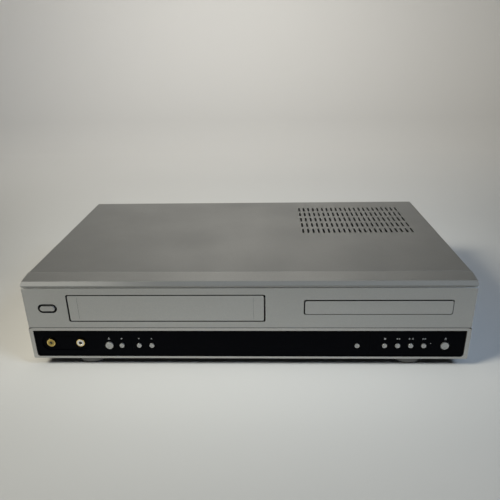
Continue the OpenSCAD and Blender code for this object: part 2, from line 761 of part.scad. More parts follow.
module reel_table(s) color("ivory") from_front() {
    x = tape_x + s * reel_pitch / 2;
    post(x, reel_y, reel_r, deck_top + slide_gap, deck_top + 4);
    post(x, reel_y, 4, deck_top + 4, deck_top + 14);
    post(x, reel_y, 1.5, deck_z - 1, deck_top + slide_gap);
    for (a = [0, 120, 240]) translate([x, reel_y, 0]) rotate([0, 0, a])
        slab(3.5, 5.5, -0.8, 0.8, deck_top + 4, deck_top + 12);
}

module supply_reel_table() reel_table(-1);
module takeup_reel_table() reel_table(1);

module guide_carrier(s) color("silver") from_front() {
    x = tape_x + s * guide_side;
    post(x, guide_y, 4, deck_top + slide_gap, deck_top + 5);
    post(x, guide_y, 2.5, deck_top + 5, deck_top + 25);
    post(x, guide_y, guide_pin_r, deck_z + 0.2, deck_top + slide_gap);
}

module supply_guide_carrier() guide_carrier(-1);
module takeup_guide_carrier() guide_carrier(1);

module tape_heads() color("dimgray") from_front() {
    slab(capstan_x - 6, capstan_x + 1, capstan_y + 10, capstan_y + 18, deck_top, deck_top + head_h);
    slab(erase_head_x, erase_head_x + 12, erase_head_y, erase_head_y + 8, deck_top, deck_top + head_h);
}

module loading_motor() color("gray") from_front() {
    post(deck_motor_x, deck_motor_y, deck_motor_r, deck_top, deck_motor_z1);
    post(deck_motor_x, deck_motor_y, 3, deck_motor_z1, deck_motor_z1 + 7);
}

// ---- Boards and rear ----

module stands(x0, x1, y0, y1) for (x = [x0, x1], y = [y0, y1]) post(x, y, stand_r, floor_z, board_z);

module main_board() color("darkgreen") from_front() {
    slab(main_x0, main_x1, main_y0, main_y1, board_z, parts_z);
    stands(main_x0 + 7, main_x1 - 8, main_y0 + 4, main_y1 - 4);
    chip_y = (main_y0 + main_y1 - chip_d) / 2;
    for (x = main_chip_x) slab(x, x + chip_w, chip_y, chip_y + chip_d, parts_z, parts_z + chip_h);
}

module tuner_module() color("silver") from_front() {
    slab(tuner_x0, tuner_x0 + tuner_w, panel_y - tuner_t, panel_y, parts_z, tuner_z + tuner_h);
    for (x = tuner_x) {
        rod_y(x, tuner_z, aerial_nut_r, panel_y, rear_y + collar_t);
        rod_y(x, tuner_z, aerial_r, rear_y + collar_t, rear_y + jack_out);
    }
}

module rear_jacks() color("gold") from_front() {
    slab(jack_x0 - jack_edge, jack_x1 + jack_edge, panel_y - jack_body_d, panel_y,
        parts_z, jack_z1 + jack_edge - 2);
    for (p = rear_jack_places) difference() {
        union() {
            rod_y(p[0], p[1], collar_r, panel_y, rear_y + collar_t);
            rod_y(p[0], p[1], socket_r, rear_y + collar_t, rear_y + jack_len);
        }
        rod_y(p[0], p[1], socket_bore_r, rear_y, rear_y + jack_len + 1);
    }
}

module mains_inlet() color([0.1, 0.1, 0.1]) from_front() {
    inlet_back = panel_y - inlet_d;
    difference() {
        slab(inlet_x - inlet_w / 2, inlet_x + inlet_w / 2, inlet_back, rear_y + inlet_lip,
            inlet_z - inlet_h / 2, inlet_z + inlet_h / 2);
        slab(inlet_x - inlet_w / 2 + inlet_wall, inlet_x + inlet_w / 2 - inlet_wall,
            inlet_back + 4, rear_y + inlet_lip + 1,
            inlet_z - inlet_h / 2 + inlet_wall + 0.5, inlet_z + inlet_h / 2 - inlet_wall - 0.5);
    }
    for (s = [-1, 1]) rod_y(inlet_x + s * 4, inlet_z, inlet_pin_r, inlet_back + 3, rear_y - 1);
}

module power_supply_board() color("tan") from_front() {
    slab(psu_x0, psu_x1, psu_y0, psu_y1, board_z, parts_z);
    stands(psu_x0 + 6, psu_x1 - 6, psu_y0 + 4, psu_y1 - 4);
    part_top = parts_z + psu_part_h;
    coil_x = psu_x0 + 18;
    coil_y = psu_y0 + 6;
    slab(coil_x, coil_x + transformer_w, coil_y, coil_y + transformer_d, parts_z, part_top);
    post(psu_x0 + 78, psu_y0 + capacitor_r + 6, capacitor_r, parts_z, part_top);
    slab(psu_x0 + 98, psu_x0 + 98 + sink_t, psu_y0 + 5, psu_y1 - 5, parts_z, part_top - 2);
}

module decoder_board() color("darkgreen") from_front() {
    board_x = tray_x - decoder_w / 2;
    slab(board_x, board_x + decoder_w, decoder_y0, decoder_y1, board_z, parts_z);
    stands(board_x + 6, board_x + decoder_w - 6, decoder_y0 + 6, decoder_y1 - 6);
    slab(tray_x - decoder_chip / 2, tray_x + decoder_chip / 2,
        decoder_y0 + 40, decoder_y0 + 40 + decoder_chip, parts_z, parts_z + chip_h);
    slab(board_x + 20, board_x + 20 + chip_d, decoder_y1 - 34, decoder_y1 - 34 + chip_w,
        parts_z, parts_z + chip_h);
}

// ---- Disc side ----

module loader_chassis() color([0.15, 0.15, 0.16]) from_front() {
    difference() {
        slab(tray_x - loader_out, tray_x + loader_out, loader_y0, loader_y1, loader_z, loader_floor);
        slab(tray_x - 38, tray_x + 38, disc_y - 22, rod_y1 + 2, loader_z - 1, loader_floor + 1);
        for (p = loader_posts) post(p[0], p[1], screw_hole_r, loader_z - 1, loader_floor + 1);
    }
    for (s = [-1, 1]) {
        w0 = tray_x + s * loader_in;
        w1 = tray_x + s * loader_out;
        slab(min(w0, w1), max(w0, w1), loader_y0, loader_y1, loader_floor, bridge_z);
        l0 = tray_x + s * (tray_half + 0.5);
        slab(min(l0, w0), max(l0, w0), loader_y0 + 2, loader_y1, tray_z0 + 2, recess_z - 0.3 - slide_gap);
    }
    for (x = [-41, 41], y = [disc_y - 25, rod_y1 + 5]) {
        post(tray_x + x, y, 3, loader_floor, traverse_z);
        post(tray_x + x, y, 1.5, traverse_z, tray_z0 - 2);
    }
    difference() {
        post(pinion_x, pinion_y, 4, loader_floor, pinion_z - 0.1);
        post(pinion_x, pinion_y, 1.5 + fit, loader_floor + 2, pinion_z + 1);
    }
}

module loader_motor() color("gray") from_front() {
    post(tray_x - 20, pinion_y, 10.5, loader_floor, loader_floor + 11);
    post(tray_x - 20, pinion_y, 1, loader_floor + 11, loader_floor + 14);
}

module tray_pinion() color("white") from_front() translate([pinion_x, pinion_y, 0]) {
    post(0, 0, pitch_r - 0.75, pinion_z, tray_z0 - 0.4);
    for (i = [0 : pinion_teeth - 1]) rotate([0, 0, 360 / pinion_teeth * i])
        translate([0, 0, pinion_z]) linear_extrude(tray_z0 - 0.4 - pinion_z)
            polygon([[pitch_r - 1.2, -0.75], [pitch_r + 0.45, -0.45],
                [pitch_r + 0.45, 0.45], [pitch_r - 1.2, 0.75]]);
    post(0, 0, 1.5, loader_floor + 2.5, pinion_z);
}

module rack_teeth() for (k = [-2 : floor((tray_y1 - pinion_y) / rack_pitch) - 2])
    translate([tray_x - rack_base - 0.1, pinion_y + (k + 0.5) * rack_pitch, tray_front_z + 0.1])
        linear_extrude(tray_z0 - tray_front_z)
            polygon([[0, -0.75], [tooth_h + 0.1, -0.45], [tooth_h + 0.1, 0.45], [0, 0.75]]);

module disc_tray() color([0.12, 0.12, 0.13]) from_front() {
    difference() {
        union() {
            slab(tray_x - tray_half, tray_x + tray_half, tray_y0, tray_y1, tray_z0, tray_z1);
            slab(tray_x - runner_half, tray_x + runner_half, loader_y0 + 3, tray_y1,
                recess_z - 0.3, tray_z1);
        }
        post(tray_x, disc_y, disc_r, recess_z, tray_z1 + 1);
        post(tray_x, disc_y, disc_r - 20, recess_z - 1.5, tray_z1 + 1);
        post(tray_x, disc_y, 19, tray_z0 - 1, tray_z1 + 1);
        slab(tray_x - 22, tray_x + 22, disc_y, rod_y1 - 1, tray_z0 - 1, recess_z + 0.1);
    }
    slab(tray_x - tray_half, tray_x - rack_base, pinion_y - 10, tray_y1, tray_front_z + 0.1, tray_z0);
    rack_teeth();
}

module tray_front() color([0.49, 0.5, 0.5]) from_front()
    front_plate(tray_x - tray_front_w / 2, tray_x + tray_front_w / 2, tray_front_z,
        tray_front_z + tray_front_h, 1.8, face_y, tray_y0);

module traverse_deck() color("lightgray") from_front() {
    difference() {
        slab(tray_x - 44, tray_x + 44, disc_y - 29, rod_y1 + 9, traverse_z, traverse_top);
        slab(tray_x - 33, tray_x + 33, rod_y0, rod_y1, traverse_z - 1, traverse_top + 1);
        for (x = [-41, 41], y = [disc_y - 25, rod_y1 + 5])
            post(tray_x + x, y, 1.5 + fit, traverse_z - 1, traverse_top + 1);
    }
    for (y = [rod_y0 - 3, rod_y1]) slab(tray_x - 29, tray_x + 29, y, y + 3, traverse_top, traverse_z + 5);
    for (s = [-1, 1]) rod_y(tray_x + s * rod_x_side, rod_z_mid, 1.5, rod_y0, rod_y1);
    difference() {
        post(tray_x, disc_y, 12, traverse_top, traverse_top + 6.6);
        post(tray_x, disc_y, 1 + fit, traverse_top + 1, traverse_top + 8);
    }
}

module turntable() color([0.15, 0.15, 0.15]) from_front() {
    post(tray_x, disc_y, 15, traverse_top + table_rise - 2.2, traverse_top + table_rise);
    post(tray_x, disc_y, 7.3, traverse_top + table_rise, traverse_top + table_rise + 2.2);
    post(tray_x, disc_y, 1, traverse_top + 1.5, traverse_top + 7);
}

module optical_pickup() color("dimgray") from_front() {
    difference() {
        slab(tray_x - 29, tray_x + 29, pickup_y, pickup_y + pickup_len, traverse_z - 2, traverse_z + 5);
        for (s = [-1, 1])
            rod_y(tray_x + s * rod_x_side, rod_z_mid, 1.5 + fit, pickup_y - 1, pickup_y + pickup_len + 1);
    }
    post(tray_x, pickup_y + 7, 4, traverse_z + 5, traverse_z + 8.5);
}

module clamp_bridge() color("silver") from_front() difference() {
    slab(tray_x - loader_out, tray_x + loader_out, disc_y - 22, disc_y + 22, bridge_z, bridge_z + bridge_t);
    post(tray_x, disc_y, 14, bridge_z - 1, bridge_z + bridge_t + 1);
}

module disc_clamp() color([0.12, 0.12, 0.13]) from_front() {
    post(tray_x, disc_y, 16.5, bridge_z + bridge_t, bridge_z + bridge_t + 2);
    post(tray_x, disc_y, 13.6, tray_z1 + 0.5, bridge_z + bridge_t);
}

bottom_chassis();
top_cover();
rear_panel();
front_bezel();
control_frame();
control_panel();
display_window();
display_tube();
feet();
foot_pads();
screws();
power_button();
tape_eject_button();
record_button();
channel_down_button();
channel_up_button();
source_select_button();
stop_button();
rewind_button();
play_button();
fast_forward_button();
disc_eject_button();
control_board();
power_switch_board();
video_jack_front();
audio_jack_front();
cassette_door();
door_spring();
tape_deck_plate();
carriage_side_frames();
cassette_carriage();
cassette_holder();
head_drum_base();
head_drum();
capstan_motor();
capstan();
pinch_arm();
pinch_roller();
supply_reel_table();
takeup_reel_table();
supply_guide_carrier();
takeup_guide_carrier();
tape_heads();
loading_motor();
main_board();
tuner_module();
rear_jacks();
mains_inlet();
power_supply_board();
decoder_board();
loader_chassis();
loader_motor();
tray_pinion();
disc_tray();
tray_front();
traverse_deck();
turntable();
optical_pickup();
clamp_bridge();
disc_clamp();
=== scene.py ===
import json
from math import cos, pi, radians, sin

import bmesh
import bpy
from mathutils import Matrix, Vector

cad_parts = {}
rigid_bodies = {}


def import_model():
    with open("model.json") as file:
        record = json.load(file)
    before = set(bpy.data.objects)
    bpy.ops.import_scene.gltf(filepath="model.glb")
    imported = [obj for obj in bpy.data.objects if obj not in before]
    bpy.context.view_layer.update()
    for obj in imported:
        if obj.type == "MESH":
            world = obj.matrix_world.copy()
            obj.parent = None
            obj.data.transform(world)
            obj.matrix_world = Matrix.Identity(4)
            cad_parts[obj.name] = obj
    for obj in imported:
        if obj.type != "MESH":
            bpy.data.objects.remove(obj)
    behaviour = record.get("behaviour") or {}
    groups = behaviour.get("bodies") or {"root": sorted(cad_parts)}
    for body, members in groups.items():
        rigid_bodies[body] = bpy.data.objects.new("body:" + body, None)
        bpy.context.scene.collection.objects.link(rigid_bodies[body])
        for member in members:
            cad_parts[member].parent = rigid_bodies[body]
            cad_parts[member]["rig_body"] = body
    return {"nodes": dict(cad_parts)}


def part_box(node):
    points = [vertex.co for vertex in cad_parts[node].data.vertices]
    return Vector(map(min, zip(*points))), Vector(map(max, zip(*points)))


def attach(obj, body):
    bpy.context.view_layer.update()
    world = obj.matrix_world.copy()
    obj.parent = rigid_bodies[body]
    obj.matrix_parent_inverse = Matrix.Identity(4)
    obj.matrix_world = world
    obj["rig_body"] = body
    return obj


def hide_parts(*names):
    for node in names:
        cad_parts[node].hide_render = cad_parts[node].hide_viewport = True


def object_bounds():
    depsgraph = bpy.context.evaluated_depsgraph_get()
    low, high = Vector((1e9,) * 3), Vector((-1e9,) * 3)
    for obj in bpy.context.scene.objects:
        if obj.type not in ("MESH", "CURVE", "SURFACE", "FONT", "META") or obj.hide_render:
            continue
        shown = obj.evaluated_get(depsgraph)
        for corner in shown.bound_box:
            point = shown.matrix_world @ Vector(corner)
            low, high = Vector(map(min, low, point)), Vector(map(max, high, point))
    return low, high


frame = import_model()
cad_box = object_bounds()
nodes = frame["nodes"]

# Lengths are in millimetres, unless a comment says metres. Places are measured from the
# middle of the case, from the front lip and from the surface that the player stands on.
# put() turns them into the frame's metres.
FRONT_Y = cad_box[0][1] * 1000
HALF_WIDTH = cad_box[1][0] * 1000
COVER_TOP = cad_box[1][2] * 1000


def put(x, y, z):
    return Vector((x, y + FRONT_Y, z)) / 1000


def upright(x, y, z):
    """The place of a shape that is drawn flat, in x and y, and stands facing forwards."""
    return Matrix.Translation(put(x, y, z)) @ Matrix.Rotation(pi / 2, 4, "X")


def front_of(node):
    """How far a CAD node's foremost face lies behind the front lip."""
    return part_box(node)[0][1] * 1000 - FRONT_Y


def middle(node):
    """The middle of a CAD node's box, as x and z."""
    low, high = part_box(node)
    return (low[0] + high[0]) * 500, (low[2] + high[2]) * 500


# ---- Camera ----

CAMERA_AT = put(19.69, -422.27, 301.41)
# Angles in radians: to the left, below the horizon, and about the line of sight.
CAMERA_YAW = 0.0363
CAMERA_DOWN = 0.3933
CAMERA_ROLL = -0.0188
LENS = 36.36
SENSOR = 36.0
NEAREST_SEEN = 0.01  # metres


def make_camera():
    data = bpy.data.cameras.new("camera")
    data.lens = LENS
    data.sensor_width = SENSOR
    data.clip_start = NEAREST_SEEN
    camera = bpy.data.objects.new("camera", data)
    bpy.context.scene.collection.objects.link(camera)
    turn = (Matrix.Rotation(CAMERA_YAW, 4, "Z") @ Matrix.Rotation(pi / 2 - CAMERA_DOWN, 4, "X")
            @ Matrix.Rotation(CAMERA_ROLL, 4, "Z"))
    camera.matrix_world = Matrix.Translation(CAMERA_AT) @ turn
    bpy.context.scene.camera = camera


# ---- Materials ----

def shader(name, colour, rough, metal=0.0, **sockets):
    mat = bpy.data.materials.new(name)
    mat.use_nodes = True
    out = mat.node_tree.nodes["Principled BSDF"]
    out.inputs["Base Color"].default_value = (*colour, 1)
    out.inputs["Roughness"].default_value = rough
    out.inputs["Metallic"].default_value = metal
    for key, value in sockets.items():
        out.inputs[key.replace("_", " ")].default_value = value
    return mat, mat.node_tree, out


def noise(tree, scale, detail=3, stretch=(1, 1, 1)):
    where = tree.nodes.new("ShaderNodeTexCoord")
    mapping = tree.nodes.new("ShaderNodeMapping")
    mapping.inputs["Scale"].default_value = stretch
    pattern = tree.nodes.new("ShaderNodeTexNoise")
    pattern.inputs["Scale"].default_value = scale
    pattern.inputs["Detail"].default_value = detail
    tree.links.new(where.outputs["Object"], mapping.inputs["Vector"])
    tree.links.new(mapping.outputs["Vector"], pattern.inputs["Vector"])
    return pattern.outputs["Fac"]


def between(tree, fac, low, high, target):
    """Spreads the middle of a pattern's range between two colours."""
    ramp = tree.nodes.new("ShaderNodeValToRGB")
    ramp.color_ramp.elements[0].position = 0.3
    ramp.color_ramp.elements[1].position = 0.7
    ramp.color_ramp.elements[0].color = low
    ramp.color_ramp.elements[1].color = high
    tree.links.new(fac, ramp.inputs["Fac"])
    tree.links.new(ramp.outputs["Color"], target)


def shade(colour, factor):
    return tuple(c * factor for c in colour) + (1,)


def mottled(tree, out, fac, colour, low, high):
    """Varies the colour between two factors of itself."""
    between(tree, fac, shade(colour, low), shade(colour, high), out.inputs["Base Color"])


def clouded(tree, out, fac, rough, low, high):
    """Varies the roughness between two factors of itself."""
    between(tree, fac, shade((rough,) * 3, low), shade((rough,) * 3, high), out.inputs["Roughness"])


def bump(tree, out, fac, depth, strength):
    """Raises a pattern, with its depth in metres."""
    node = tree.nodes.new("ShaderNodeBump")
    node.inputs["Distance"].default_value = depth
    node.inputs["Strength"].default_value = strength
    tree.links.new(fac, node.inputs["Height"])
    tree.links.new(node.outputs["Normal"], out.inputs["Normal"])


def silver_paint(name, colour, rough, flakes=900, metal=0.92):
    """Metallic paint: fine flakes in the colour, cloudy wear in the gloss, a faint orange peel."""
    mat, tree, out = shader(name, colour, rough, metal)
    mottled(tree, out, noise(tree, flakes, detail=2), colour, 0.96, 1.04)
    clouded(tree, out, noise(tree, 14, detail=4), rough, 0.9, 1.12)
    bump(tree, out, noise(tree, 1600, detail=1), depth=0.00002, strength=0.25)
    return mat


def moulded(name, colour, rough, spread=0.06, level=0.5):
    """Moulded plastic or rubber with a fine spark-eroded grain."""
    mat, tree, out = shader(name, colour, rough, Specular_IOR_Level=level)
    mottled(tree, out, noise(tree, 60), colour, 1 - spread, 1 + spread)
    bump(tree, out, noise(tree, 2200, detail=2), depth=0.00003, strength=0.35)
    return mat


def rolled(name, colour, rough, stretch=(1, 30, 1)):
    """Sheet or turned metal with fine lines along one way."""
    mat, tree, out = shader(name, colour, rough, metal=1.0)
    lines = noise(tree, 240, stretch=stretch)
    mottled(tree, out, lines, colour, 0.86, 1.08)
    clouded(tree, out, noise(tree, 30, detail=4), rough, 0.8, 1.2)
    bump(tree, out, lines, depth=0.00001, strength=0.3)
    return mat


def gloss_black(name, rough, level):
    """Polished black moulding with the faint haze of handling."""
    mat, tree, out = shader(name, (0.0014, 0.0017, 0.0028), rough, Specular_IOR_Level=level)
    clouded(tree, out, noise(tree, 22, detail=5), rough, 0.7, 1.6)
    return mat


def varnished_board(name, varnish, track):
    """Circuit board whose copper tracks show as paler lines under the varnish."""
    mat, tree, out = shader(name, varnish, 0.32)
    tracks = noise(tree, 260, detail=1, stretch=(1, 6, 1))
    between(tree, tracks, shade(varnish, 0.8), (*track, 1), out.inputs["Base Color"])
    bump(tree, out, noise(tree, 260, detail=1, stretch=(6, 1, 1)), depth=0.00003, strength=0.4)
    return mat


# Painted light and shade on the backdrop: stops along it where its tint is made brighter or darker,
# standing in for the lamps' pool of light and its falloff. Each stop gives metres from the middle of
# the case, then the strength in the paper's middle band and towards its sides. The first stops are on
# the floor in front of the player, and the last ones are up the wall.
PAINTED_LIGHT_STOPS = [
    (-0.3, 0.85, 0.8),
    (-0.15, 1.25, 0.95),
    (0.1, 1.3, 0.65),
    (0.6, 0.95, 0.8),
    (1.2, 0.75, 0.9),
    (1.85, 0.9, 1.3),
]
# The middle band widens evenly from a point this many metres in front of the case's middle.
# It has faded out where the way to the side is this share of the distance from that point.
BAND_START = 0.65
BAND_SHARE = 0.5


def paper_with_painted_light(name, tint, stops):
    """Matt backdrop paper with painted light and shade: its strength changes along it and from its
    middle to its sides.
    """
    mat, tree, out = shader(name, tint, 0.9)
    place = tree.nodes.new("ShaderNodeSeparateXYZ")
    tree.links.new(tree.nodes.new("ShaderNodeTexCoord").outputs["Object"], place.inputs[0])

    def maths(kind, a, b):
        node = tree.nodes.new("ShaderNodeMath")
        node.operation = kind
        for socket, value in zip(node.inputs, (a, b)):
            if isinstance(value, float):
                socket.default_value = value
            else:
                tree.links.new(value, socket)
        return node.outputs[0]

    first, last = stops[0][0], stops[-1][0]
    travel = maths("ADD", place.outputs["Y"], place.outputs["Z"])
    along = maths("DIVIDE", maths("SUBTRACT", travel, first), last - first)
    distance = maths("ADD", place.outputs["Y"], BAND_START)
    side = maths("DIVIDE", maths("DIVIDE", place.outputs["X"], distance), BAND_SHARE)
    fade = maths("MINIMUM", maths("MULTIPLY", side, side), 1.0)

    mix = tree.nodes.new("ShaderNodeMix")
    mix.data_type = "RGBA"
    tree.links.new(fade, mix.inputs["Factor"])
    band_colour, side_colour, mixed_colour = mix.inputs[6], mix.inputs[7], mix.outputs[2]
    for column, target in ((1, band_colour), (2, side_colour)):
        ramp = tree.nodes.new("ShaderNodeValToRGB")
        elements = ramp.color_ramp.elements
        while len(elements) < len(stops):
            elements.new(1.0)
        for element, stop in zip(elements, stops):
            element.position = (stop[0] - first) / (last - first)
            element.color = shade(tint, stop[column])
        tree.links.new(along, ramp.inputs["Fac"])
        tree.links.new(ramp.outputs["Color"], target)
    tree.links.new(mixed_colour, out.inputs["Base Color"])
    return mat


# The backdrop's tint, with painted light and shade from its stops.
paper = paper_with_painted_light("paper", (0.68, 0.67, 0.65), PAINTED_LIGHT_STOPS)
cover_silver = silver_paint("cover_silver", (0.295, 0.295, 0.287), 0.46)
bezel_silver = silver_paint("bezel_silver", (0.425, 0.43, 0.42), 0.22, flakes=1200, metal=0.6)
frame_silver = silver_paint("frame_silver", (0.48, 0.48, 0.47), 0.22, flakes=1200)
door_silver = silver_paint("door_silver", (0.44, 0.445, 0.435), 0.22, flakes=1200, metal=0.6)
# Painted shade: a darker, duller copy of the bezel's paint for the nose's level faces.
nose_silver = silver_paint("nose_silver", (0.37, 0.37, 0.36), 0.42)
# Painted shade: silver paint darkened for the feet, which stand in the shade under the case.
foot_silver = silver_paint("foot_silver", (0.14, 0.14, 0.137), 0.4)
button_silver = silver_paint("button_silver", (0.42, 0.42, 0.415), 0.24, flakes=1500, metal=0.7)
strip_black = gloss_black("strip_black", 0.14, 0.03)
window_black = gloss_black("window_black", 0.09, 0.03)
zinc = rolled("zinc", (0.55, 0.56, 0.57), 0.36)
# Painted shade: the chassis's zinc darkened, so that little light bounces under the case.
dark_zinc = rolled("dark_zinc", (0.12, 0.12, 0.125), 0.45)
turned = rolled("turned", (0.72, 0.72, 0.73), 0.22, stretch=(1, 1, 30))
can = rolled("can", (0.42, 0.42, 0.43), 0.34, stretch=(1, 1, 12))
bright_steel = rolled("bright_steel", (0.6, 0.6, 0.6), 0.2)
gold = rolled("gold", (0.83, 0.62, 0.22), 0.2, stretch=(1, 1, 6))
# Near-black, low-gloss plastic for hidden walls: partly the unpainted moulding, partly painted shade
# that keeps gaps, recesses and the frame's underside dark.
bare_plastic = moulded("bare_plastic", (0.004, 0.004, 0.0045), 0.6, level=0.1)
black_plastic = moulded("black_plastic", (0.018, 0.018, 0.02), 0.42)
white_plastic = moulded("white_plastic", (0.7, 0.69, 0.65), 0.4)
yellow_plastic = moulded("yellow_plastic", (0.36, 0.26, 0.05), 0.38)
pad_rubber = moulded("pad_rubber", (0.016, 0.016, 0.016), 0.75)
tube_glass = moulded("tube_glass", (0.02, 0.024, 0.024), 0.12, spread=0.02)
pale_print = moulded("pale_print", (0.34, 0.345, 0.35), 0.5)
green_board = varnished_board("green_board", (0.012, 0.085, 0.035), track=(0.03, 0.17, 0.07))


# ---- Meshes ----

def verts_of(geom):
    return [v for v in geom if isinstance(v, bmesh.types.BMVert)]


def mesh_object(bm, name, mat, smooth=35):
    """Ends a bmesh as a shown object, with edges sharper than smooth degrees kept crisp."""
    mesh = bpy.data.meshes.new(name)
    bm.to_mesh(mesh)
    bm.free()
    mesh.materials.append(mat)
    mesh.shade_smooth()
    mesh.set_sharp_from_angle(angle=radians(smooth))
    obj = bpy.data.objects.new(name, mesh)
    bpy.context.scene.collection.objects.link(obj)
    return obj


# ---- Room and light ----

# The backdrop's side view, in metres: its near end, where the floor starts to curve up, the
# curve's radius and the top of the wall.
PAPER_NEAR = -1.6
CURVE_START = 0.9
CURVE_RADIUS = 0.5
CURVE_STEPS = 12
WALL_TOP = 3.0
PAPER_WIDTH = 8.0
# The spot that both side lamps are turned to, and the strength of the light from all round.
LIT_SPOT = put(0, 60, 0)
AMBIENT = 0.03


def make_room():
    """A pale floor that curves up into a wall well behind the player."""
    bm = bmesh.new()
    bends = [pi / 2 * i / CURVE_STEPS for i in range(CURVE_STEPS + 1)]
    line = [(PAPER_NEAR, 0.0)]
    line += [(CURVE_START + CURVE_RADIUS * sin(a), CURVE_RADIUS - CURVE_RADIUS * cos(a)) for a in bends]
    line.append((CURVE_START + CURVE_RADIUS, WALL_TOP))
    verts = [bm.verts.new((-PAPER_WIDTH / 2, y, z)) for y, z in line]
    edges = [bm.edges.new(pair) for pair in zip(verts, verts[1:])]
    made = bmesh.ops.extrude_edge_only(bm, edges=edges)["geom"]
    bmesh.ops.translate(bm, vec=(PAPER_WIDTH, 0, 0), verts=verts_of(made))
    bmesh.ops.recalc_face_normals(bm, faces=bm.faces)
    room = mesh_object(bm, "room", paper, smooth=40)


def area_light(name, at, aim, size, power, colour, spread=70):
    """A rectangular lamp, with its size in metres and the spread of its beam in degrees."""
    data = bpy.data.lights.new(name, "AREA")
    data.spread = radians(spread)
    data.shape = "RECTANGLE"
    data.size, data.size_y = size
    data.energy = power
    data.color = colour
    light = bpy.data.objects.new(name, data)
    bpy.context.scene.collection.objects.link(light)
    turn = (Vector(aim) - Vector(at)).to_track_quat("-Z", "Y").to_matrix().to_4x4()
    light.matrix_world = Matrix.Translation(at) @ turn


def make_light():
    """Warm from the left, cool from the right, one lamp on the wall and two on the ceiling."""
    world = bpy.data.worlds.new("world")
    world.use_nodes = True
    sky = world.node_tree.nodes["Background"]
    sky.inputs["Color"].default_value = (0.86, 0.9, 0.95, 1)
    sky.inputs["Strength"].default_value = AMBIENT
    bpy.context.scene.world = world
    area_light("left_lamp", at=put(-1863, -750, 1600), aim=LIT_SPOT,
               size=(0.7, 0.6), power=7.4, colour=(1.0, 0.96, 0.82))
    area_light("right_lamp", at=put(1320, -660, 1300), aim=LIT_SPOT,
               size=(0.7, 0.6), power=2.2, colour=(0.62, 0.78, 1.0))
    area_light("wall_wash", at=(-0.08, 0.75, 1.35), aim=(-0.08, 1.4, 0.7),
               size=(0.9, 0.4), power=8.5, colour=(1.0, 0.985, 0.95), spread=130)
    area_light("ceiling_left", at=(-1.1, 0.25, 1.5), aim=(-1.1, 0.25, 0),
               size=(1.1, 1.2), power=2.6, colour=(1.0, 0.96, 0.86), spread=180)
    area_light("ceiling_right", at=(0.35, 0.25, 1.5), aim=(0.35, 0.25, 0),
               size=(1.4, 1.2), power=0.9, colour=(0.8, 0.9, 1.0), spread=180)
    bpy.context.scene.view_settings.view_transform = "Standard"


# ---- Outer pieces ----

SAME_POINT = 2e-6  # metres, the gap up to which two points of a CAD mesh become one
SAME_FACE = 0.6  # degrees, the bend up to which neighbouring triangles become one face
CORNER = 35  # degrees, the bend from which an edge is rounded


def softened(node, finish, width, segments=2, pick=None, smooth=35):
    """A copy of a CAD node with its edges rounded by width, shown in the node's place.

    finish is a material, or says each face's material. pick says which corners are rounded."""
    bm = bmesh.new()
    bm.from_mesh(nodes[node].data)
    bmesh.ops.remove_doubles(bm, verts=bm.verts, dist=SAME_POINT)
    bmesh.ops.dissolve_limit(bm, angle_limit=radians(SAME_FACE), verts=bm.verts, edges=bm.edges)
    edges = [e for e in bm.edges if len(e.link_faces) == 2 and e.calc_face_angle(0) > radians(CORNER)]
    if pick is not None:
        edges = [e for e in edges if pick(e)]
    bmesh.ops.bevel(bm, geom=edges, offset=width / 1000, offset_type="OFFSET", affect="EDGES",
                    segments=segments, profile=0.5, material=-1, clamp_overlap=True)
    finishes = [finish]
    if callable(finish):
        bmesh.ops.recalc_face_normals(bm, faces=bm.faces)
        by_face = [finish(face) for face in bm.faces]
        finishes = sorted(set(by_face), key=lambda mat: mat.name)
        for face, mat in zip(bm.faces, by_face):
            face.material_index = finishes.index(mat)
    obj = mesh_object(bm, node + "_finished", finishes[0], smooth)
    for mat in finishes[1:]:
        obj.data.materials.append(mat)
    flat = obj.modifiers.new("flat_faces", "WEIGHTED_NORMAL")
    flat.mode = "FACE_AREA"
    flat.weight = 100
    flat.keep_sharp = True
    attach(obj, nodes[node]["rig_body"])
    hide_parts(node)


# The nose's slope and facet lie above NOSE_Z. The front's upper edge, with its groove, lies
# above UPPER_EDGE_Z and no deeper than UPPER_EDGE_DEPTH. The outer sides lie past OUTER_SIDE.
NOSE_Z = COVER_TOP - 4
UPPER_EDGE_Z = COVER_TOP - 7
UPPER_EDGE_DEPTH = 1.9
OUTER_SIDE = HALF_WIDTH - 2.2


def front_paint(mat, skin):
    """Spray on the front down to a depth of skin, on the nose and on the outer sides. The nose's level
    faces get painted shade, a darker copy of the paint. All other faces are near-black: partly the
    unpainted moulding, partly painted shade in gaps and recesses.
    """
    def finish(face):
        centre = face.calc_center_median() * 1000
        deep = centre.y - FRONT_Y
        on_nose = centre.z > NOSE_Z
        nearly_level = face.normal.z > 0.96
        # Painted shade on the nose's level faces.
        if on_nose and nearly_level:
            return nose_silver
        front = deep < skin and face.normal.y < -0.8
        upper_edge = deep < UPPER_EDGE_DEPTH and centre.z > UPPER_EDGE_Z
        facet = on_nose and face.normal.z > 0.5
        side = abs(centre.x) > OUTER_SIDE and abs(face.normal.x) > 0.7
        return mat if front or upper_edge or facet or side else bare_plastic
    return finish


def frame_paint(face):
    """Spray on the frame's front and side walls; its upward and downward walls stay near-black,
    partly as the unpainted moulding, partly as painted shade along the strip's edges and under the
    frame.
    """
    return bare_plastic if abs(face.normal.z) > 0.5 and face.normal.y > -0.5 else frame_silver


COVER_FRONT = front_of("top_cover")
# How far behind the cover's front end an edge still belongs to it, and so does a face.
END_EDGE = 0.1
END_FACE = 0.6


def cover_paint_with_highlight(face):
    """The sheet's paint, with a painted highlight: the rounded edges of its front end take the
    brighter, glossier bezel paint.
    """
    at_end = face.calc_center_median().y * 1000 - FRONT_Y < COVER_FRONT + END_FACE
    return bezel_silver if at_end and -0.95 < face.normal.y < -0.2 else cover_silver


